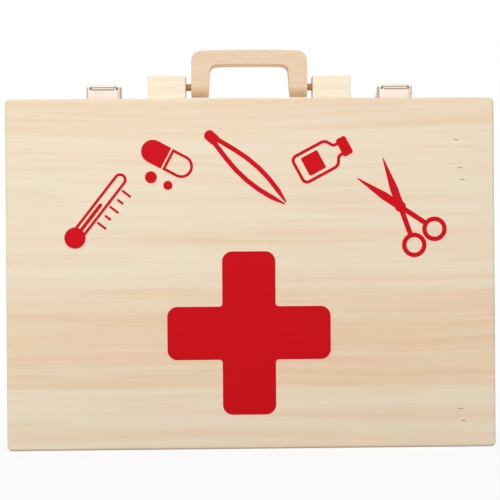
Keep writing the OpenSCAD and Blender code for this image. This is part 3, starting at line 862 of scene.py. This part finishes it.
def printed(name, draw, place, material, height_mm):
    """Draws flat shapes, gives each one its layer of ink and lays them on the front panel."""
    bm = bmesh.new()
    draw(bm)
    bmesh.ops.recalc_face_normals(bm, faces=bm.faces)
    # The ink reaches a little into the wood. Overlapping shapes differ a little in height, so
    # that no two faces lie in one plane
    sunk, step = 0.03, 0.002
    for number, island in enumerate(face_islands(bm)):
        top = new_verts(bmesh.ops.extrude_face_region(bm, geom=island)["geom"])
        bmesh.ops.translate(bm, verts=top, vec=(0, 0, sunk + height_mm - step * number))
    bmesh.ops.translate(bm, verts=bm.verts, vec=(0, 0, -sunk))
    bmesh.ops.recalc_face_normals(bm, faces=bm.faces)
    bmesh.ops.transform(bm, verts=bm.verts, matrix=place)
    return piece_from(name, bm, material, [], "lid")


class CASE_OT_front_print(bpy.types.Operator):
    """Prints the red plus and five medical motifs on the front panel"""

    bl_idname = "case.front_print"
    bl_label = "Front print"

    def execute(self, context):
        settings = context.scene.case_print
        plus_ink = screen_ink("screen_ink_plus", settings.red)
        motif_ink = screen_ink("screen_ink_motifs", settings.bright_red)
        height = settings.ink / MM
        sizes = [value / MM for value in (settings.cross_span, settings.cross_arm, settings.cross_round)]
        place = on_front(settings.cross_x / MM, settings.cross_z / MM)
        printed("plus_print", lambda bm: plus_sign(bm, *sizes), place, plus_ink, height)
        # The motifs stand in an arc over the plus: place across, height and turn
        motifs = (
            (thermometer, -106, 168, -38),
            (capsule, -58, 202, -28),
            (tweezers, -4, 196, 48),
            (medicine_bottle, 48, 201, -62),
            (scissors, 104, 168, 38),
        )
        for draw, x, z, angle in motifs:
            printed(draw.__name__ + "_print", draw, on_front(x, z, angle), motif_ink, height)
        return {"FINISHED"}


# Screws


def recess(head_radius, depth):
    """The cross shaped hollow that a driver fits, as a solid to cut with, its mouth at z = 0."""
    span, arm, narrowing = head_radius * 1.24, head_radius * 0.34, 0.55
    bm = bmesh.new()
    plus_outline(bm, span, arm)
    low = new_verts(bmesh.ops.extrude_face_region(bm, geom=bm.faces[:])["geom"])
    bmesh.ops.scale(bm, verts=low, vec=(narrowing, narrowing, 1))
    bmesh.ops.translate(bm, verts=low, vec=(0, 0, -depth))
    # It stands as far out of the head as it reaches in
    high = [vert for vert in bm.verts if vert not in low]
    bmesh.ops.translate(bm, verts=high, vec=(0, 0, depth))
    bmesh.ops.recalc_face_normals(bm, faces=bm.faces)
    return bm


def screw_mesh(head_radius, head_height, shank_radius, reach, countersunk=False):
    """A wood screw turned from one profile, its head's seat at z = 0 and its tip below.

    A countersunk head has its rim at z = 0 instead. Both have a cross recess."""
    if countersunk:
        top, neck = 0, -head_height
        head = [(0, 0), (head_radius * 0.95, 0), (head_radius, -head_height * 0.08)]
    else:
        top, neck = head_height, 0
        flat, rim = head_radius * 0.45, head_height * 0.35
        turns = [math.radians(90) * step / 6 for step in range(7)]
        dome = [(flat + (head_radius - flat) * math.sin(t), rim + (top - rim) * math.cos(t)) for t in turns]
        head = [(0, top), *dome, (head_radius, 0)]
    shank = [(shank_radius, neck), (shank_radius, -reach + shank_radius * 2), (0, -reach)]

    bm = bmesh.new()
    verts = [bm.verts.new((x, 0, z)) for x, z in head + shank]
    edges = [bm.edges.new(pair) for pair in zip(verts, verts[1:])]
    bmesh.ops.spin(
        bm, geom=edges, cent=(0, 0, 0), axis=(0, 0, 1), dvec=(0, 0, 0), angle=math.radians(360),
        steps=36, use_merge=True, use_normal_flip=False, use_duplicate=False,
    )
    bmesh.ops.remove_doubles(bm, verts=bm.verts, dist=0.001 * MM)
    bmesh.ops.recalc_face_normals(bm, faces=bm.faces)
    cutter = recess(head_radius, head_height * 0.6)
    bmesh.ops.translate(cutter, verts=cutter.verts, vec=(0, 0, top))
    return carved(bm, cutter)


def screw_group(node, places, up, sizes, material):
    """Puts one screw at each place; up is 1 where the heads look up and -1 where they look down."""
    mesh = bpy.data.meshes.new("one_screw")
    single = screw_mesh(**sizes)
    if up < 0:
        bmesh.ops.rotate(single, verts=single.verts, cent=(0, 0, 0), matrix=Matrix.Rotation(math.pi, 3, "X"))
    single.to_mesh(mesh)
    single.free()
    bm = bmesh.new()
    for number, place in enumerate(places):
        # Driven screws stop at any angle, so each recess is turned a little further
        stand = Matrix.Translation(place) @ Matrix.Rotation(0.7 * number + 0.3, 4, "Z")
        mesh.transform(stand)
        bm.from_mesh(mesh)
        mesh.transform(stand.inverted())
    bpy.data.meshes.remove(mesh)
    return piece_from(node + "_zinc", bm, material, [node])


class CASE_OT_screws(bpy.types.Operator):
    """Makes the screws of the blocks, latches and hinges, with cross recessed heads"""

    bl_idname = "case.screws"
    bl_label = "Screws"

    def execute(self, context):
        zinc = plated_metal("zinc_plated_screw", context.scene.case_metal.zinc, 0.34, 0.5)
        sides = (-1, 1)
        seam = seam_y()

        # On the catch two screws stand side by side, on the latch's base one behind the other
        sheet = 1 * MM
        on_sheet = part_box("body_top_board")[1][2] + sheet
        latch_x = middle("latch_base_right").x
        catch_pitch, catch_row, base_rows = 5.5 * MM, -7 * MM, (17.5 * MM, 25.5 * MM)
        small = {"head_radius": 2.1 * MM, "head_height": 1.2 * MM, "shank_radius": 1 * MM, "reach": 7.5 * MM}
        catches = [
            (side * latch_x + s * catch_pitch, seam + catch_row, on_sheet) for side in sides for s in sides
        ]
        bases = [(side * latch_x, seam + row, on_sheet) for side in sides for row in base_rows]
        screw_group("catch_screws", catches, 1, small, zinc)
        screw_group("latch_screws", bases, 1, small, zinc)

        # Each hinge leaf has two countersunk screws
        flat = {**small, "head_height": 1 * MM, "reach": 6.5 * MM, "countersunk": True}
        hinge_x = middle("hinge_body_leaf_right").x
        hinge_pitch, hinge_row = 8 * MM, 10.5 * MM
        leaf_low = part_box("hinge_body_leaf_left")[0][2]
        for half, way in (("body", 1), ("lid", -1)):
            places = [
                (side * hinge_x + s * hinge_pitch, seam + way * hinge_row, leaf_low)
                for side in sides for s in sides
            ]
            screw_group(f"hinge_{half}_screws", places, -1, flat, zinc)

        # Two screws come up into each block from inside the case
        large = {"head_radius": 3 * MM, "head_height": 1.8 * MM, "shank_radius": 1.5 * MM, "reach": 17 * MM}
        block_x, block_pitch = middle("handle_block_right").x, 7.55 * MM
        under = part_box("body_top_board")[0][2]
        blocks = [(side * block_x + s * block_pitch, 0, under) for side in sides for s in sides]
        screw_group("block_screws", blocks, -1, large, zinc)
        return {"FINISHED"}


# Latches and hinges


class CASE_OT_latches(bpy.types.Operator):
    """Dresses the catches, bases, levers, wire bails and rivets of both latches"""

    bl_idname = "case.latches"
    bl_label = "Latches"

    def execute(self, context):
        metal = context.scene.case_metal
        nickel = plated_metal("satin_nickel_plate", metal.nickel, 0.3, 0.35)
        wire = plated_metal("nickel_plated_wire", metal.nickel, 0.24, 0.3)
        rivet = plated_metal("zinc_plated_rivet", metal.zinc, 0.34, 0.4)
        for side in ("left", "right"):
            for part in ("catch_plate", "latch_base", "latch_lever"):
                dressed(f"{part}_{side}", "nickel", nickel, metal.edge)
            dressed(f"latch_bail_{side}", "wire", wire)
            dressed(f"latch_pivot_{side}", "rivet", rivet, metal.rivet_edge)
        return {"FINISHED"}


class CASE_OT_hinges(bpy.types.Operator):
    """Dresses the hinge leaves and pins under the seam"""

    bl_idname = "case.hinges"
    bl_label = "Hinges"

    def execute(self, context):
        metal = context.scene.case_metal
        nickel = plated_metal("nickel_plated_hinge", metal.nickel, 0.32, 0.4)
        pin_steel = plated_metal("zinc_plated_pin", metal.zinc, 0.36, 0.4)
        for side in ("left", "right"):
            for half in ("body", "lid"):
                dressed(f"hinge_{half}_leaf_{side}", "nickel", nickel, metal.leaf_edge)
            dressed(f"hinge_pin_{side}", "steel", pin_steel, metal.pin_edge)
        return {"FINISHED"}


# Stage


def white_for_the_eye(tree):
    """1 for rays that show the background itself: camera, mirror and glass rays."""
    path = add_node(tree, "ShaderNodeLightPath").outputs
    seen = path["Is Camera Ray"]
    for kind in ("Is Glossy Ray", "Is Transmission Ray"):
        seen = add_node(tree, "ShaderNodeMath", {"operation": "MAXIMUM"}, {0: seen, 1: path[kind]}).outputs[0]
    return seen


def floor_material():
    """Matt white paper that bounces light and takes the shadow.

    To the eye it is nearly clear, so that the white behind it shows, and from below it is quite
    clear, so that the lid stays in sight and in the light where it opens below the floor. It
    is clear to what touches it too, so that the case's underside isn't black from below."""
    material, tree, shader = new_material("matt_white_paper")
    tree.nodes.remove(shader)
    paper = add_node(tree, "ShaderNodeBsdfDiffuse", inputs={"Color": linear("#d6d5d3")}).outputs[0]
    clear = add_node(tree, "ShaderNodeBsdfTransparent").outputs[0]

    # The shadow fades out between two distances from the case
    near, far, clear_near = 150 * MM, 700 * MM, 0.9
    place = add_node(tree, "ShaderNodeTexCoord").outputs["Object"]
    away = add_node(tree, "ShaderNodeVectorMath", {"operation": "LENGTH"}, {0: place}).outputs["Value"]
    faint = add_node(
        tree, "ShaderNodeMapRange", {"interpolation_type": "SMOOTHSTEP"},
        {"Value": away, "From Min": near, "From Max": far, "To Min": clear_near, "To Max": 1.0},
    ).outputs[0]
    share = add_node(
        tree, "ShaderNodeMath", {"operation": "MULTIPLY"}, {0: white_for_the_eye(tree), 1: faint}
    ).outputs[0]

    below = add_node(tree, "ShaderNodeNewGeometry").outputs["Backfacing"]
    path = add_node(tree, "ShaderNodeLightPath").outputs
    touching = add_node(
        tree, "ShaderNodeMath", {"operation": "LESS_THAN"}, {0: path["Ray Length"], 1: 2 * MM}
    ).outputs[0]
    for other in (below, touching):
        share = add_node(tree, "ShaderNodeMath", {"operation": "MAXIMUM"}, {0: share, 1: other}).outputs[0]
    mix = add_node(tree, "ShaderNodeMixShader", inputs={0: share, 1: paper, 2: clear}).outputs[0]
    tree.links.new(mix, tree.nodes["Material Output"].inputs["Surface"])
    return material


def studio_world(sky):
    """Even light from all round at the level sky, which looks white behind the case."""
    world = bpy.data.worlds.new("studio_light")
    world.use_nodes = True
    tree = world.node_tree
    background = tree.nodes["Background"]
    background.inputs["Color"].default_value = (1, 1, 1, 1)
    level = add_node(
        tree, "ShaderNodeMapRange", inputs={"Value": white_for_the_eye(tree), "To Min": sky, "To Max": 1.0}
    ).outputs[0]
    tree.links.new(level, background.inputs["Strength"])
    return world


def lamp(name, place, size, watts):
    """A soft rectangular lamp that looks at the middle of the case."""
    data = bpy.data.lights.new(name, "AREA")
    data.shape = "RECTANGLE"
    data.size, data.size_y = size
    data.energy = watts
    piece = bpy.data.objects.new(name, data)
    bpy.context.scene.collection.objects.link(piece)
    piece.location = place
    case_middle = Vector((0, 0, 130 * MM))
    piece.rotation_euler = (case_middle - Vector(place)).to_track_quat("-Z", "Y").to_euler()
    return piece


def photo_camera(lens):
    """A camera 0.8 m from the front and a little to the left, which leans by 0.4 degrees."""
    data = bpy.data.cameras.new("photo_camera")
    data.sensor_width = 36
    data.lens = lens
    data.clip_start = 0.01
    camera = bpy.data.objects.new("photo_camera", data)
    bpy.context.scene.collection.objects.link(camera)
    place = Vector((-17 * MM, -840 * MM, 141.05 * MM))
    aim = Vector((-0.92 * MM, -40 * MM, 138.45 * MM))
    lean = Matrix.Rotation(math.radians(-0.4), 4, "Z")
    turn = (aim - place).to_track_quat("-Z", "Y").to_matrix().to_4x4()
    camera.matrix_world = Matrix.Translation(place) @ turn @ lean
    return camera


class CASE_OT_stage(bpy.types.Operator):
    """Sets up the pale floor, the soft light and the camera at the photograph's place"""

    bl_idname = "case.stage"
    bl_label = "Stage"

    def execute(self, context):
        settings = context.scene.case_stage
        scene = context.scene
        bm = bmesh.new()
        floor_reach = 4
        bmesh.ops.create_grid(bm, x_segments=1, y_segments=1, size=floor_reach)
        floor = new_object("studio_floor", bm)
        floor.data.materials.append(floor_material())

        scene.world = studio_world(settings.sky)
        # Each lamp's place, and its width and height, in metres
        lamp("key_lamp", (-0.2, -0.8, 0.75), (1.5, 0.7), settings.key)
        lamp("fill_lamp_left", (-1.4, -0.7, 0.7), (0.7, 0.9), settings.fill)
        lamp("fill_lamp_right", (1.4, -0.6, 0.7), (0.7, 0.9), settings.fill)
        back = lamp("back_lamp", (0.1, 0.9, 1.0), (2.4, 1.4), settings.back)
        # Seen from above, the latches would mirror this lamp and burn out
        back.visible_glossy = False

        scene.camera = photo_camera(settings.lens)
        scene.view_settings.view_transform = "Standard"
        return {"FINISHED"}


# Panel and registration

OPERATORS = (
    CASE_OT_boards, CASE_OT_handle, CASE_OT_front_print, CASE_OT_latches,
    CASE_OT_hinges, CASE_OT_screws, CASE_OT_stage,
)
SETTINGS = {
    "case_boards": BoardSettings,
    "case_handle": HandleSettings,
    "case_print": PrintSettings,
    "case_metal": MetalSettings,
    "case_stage": StageSettings,
}


class CASE_PT_panel(bpy.types.Panel):
    """Lists the steps that make the case, and their settings"""

    bl_idname = "CASE_PT_panel"
    bl_label = "Doctor Case"
    bl_space_type = "VIEW_3D"
    bl_region_type = "UI"
    bl_category = "Doctor Case"

    def draw(self, context):
        for operator in OPERATORS:
            self.layout.operator(operator.bl_idname)
        for name, group in SETTINGS.items():
            box = self.layout.box()
            for key in group.__annotations__:
                box.prop(getattr(context.scene, name), key)


def register():
    """Registers the settings, operators and panel."""
    for name, group in SETTINGS.items():
        bpy.utils.register_class(group)
        setattr(bpy.types.Scene, name, bpy.props.PointerProperty(type=group))
    for item in (*OPERATORS, CASE_PT_panel):
        bpy.utils.register_class(item)


def unregister():
    """Takes everything out again, in reverse order."""
    for item in reversed((*OPERATORS, CASE_PT_panel)):
        bpy.utils.unregister_class(item)
    for name, group in reversed(SETTINGS.items()):
        delattr(bpy.types.Scene, name)
        bpy.utils.unregister_class(group)


def main():
    register()
    bpy.ops.case.boards()
    bpy.ops.case.handle()
    bpy.ops.case.front_print()
    bpy.ops.case.latches()
    bpy.ops.case.hinges()
    bpy.ops.case.screws()
    bpy.ops.case.stage()


if __name__ == "__main__":
    main()
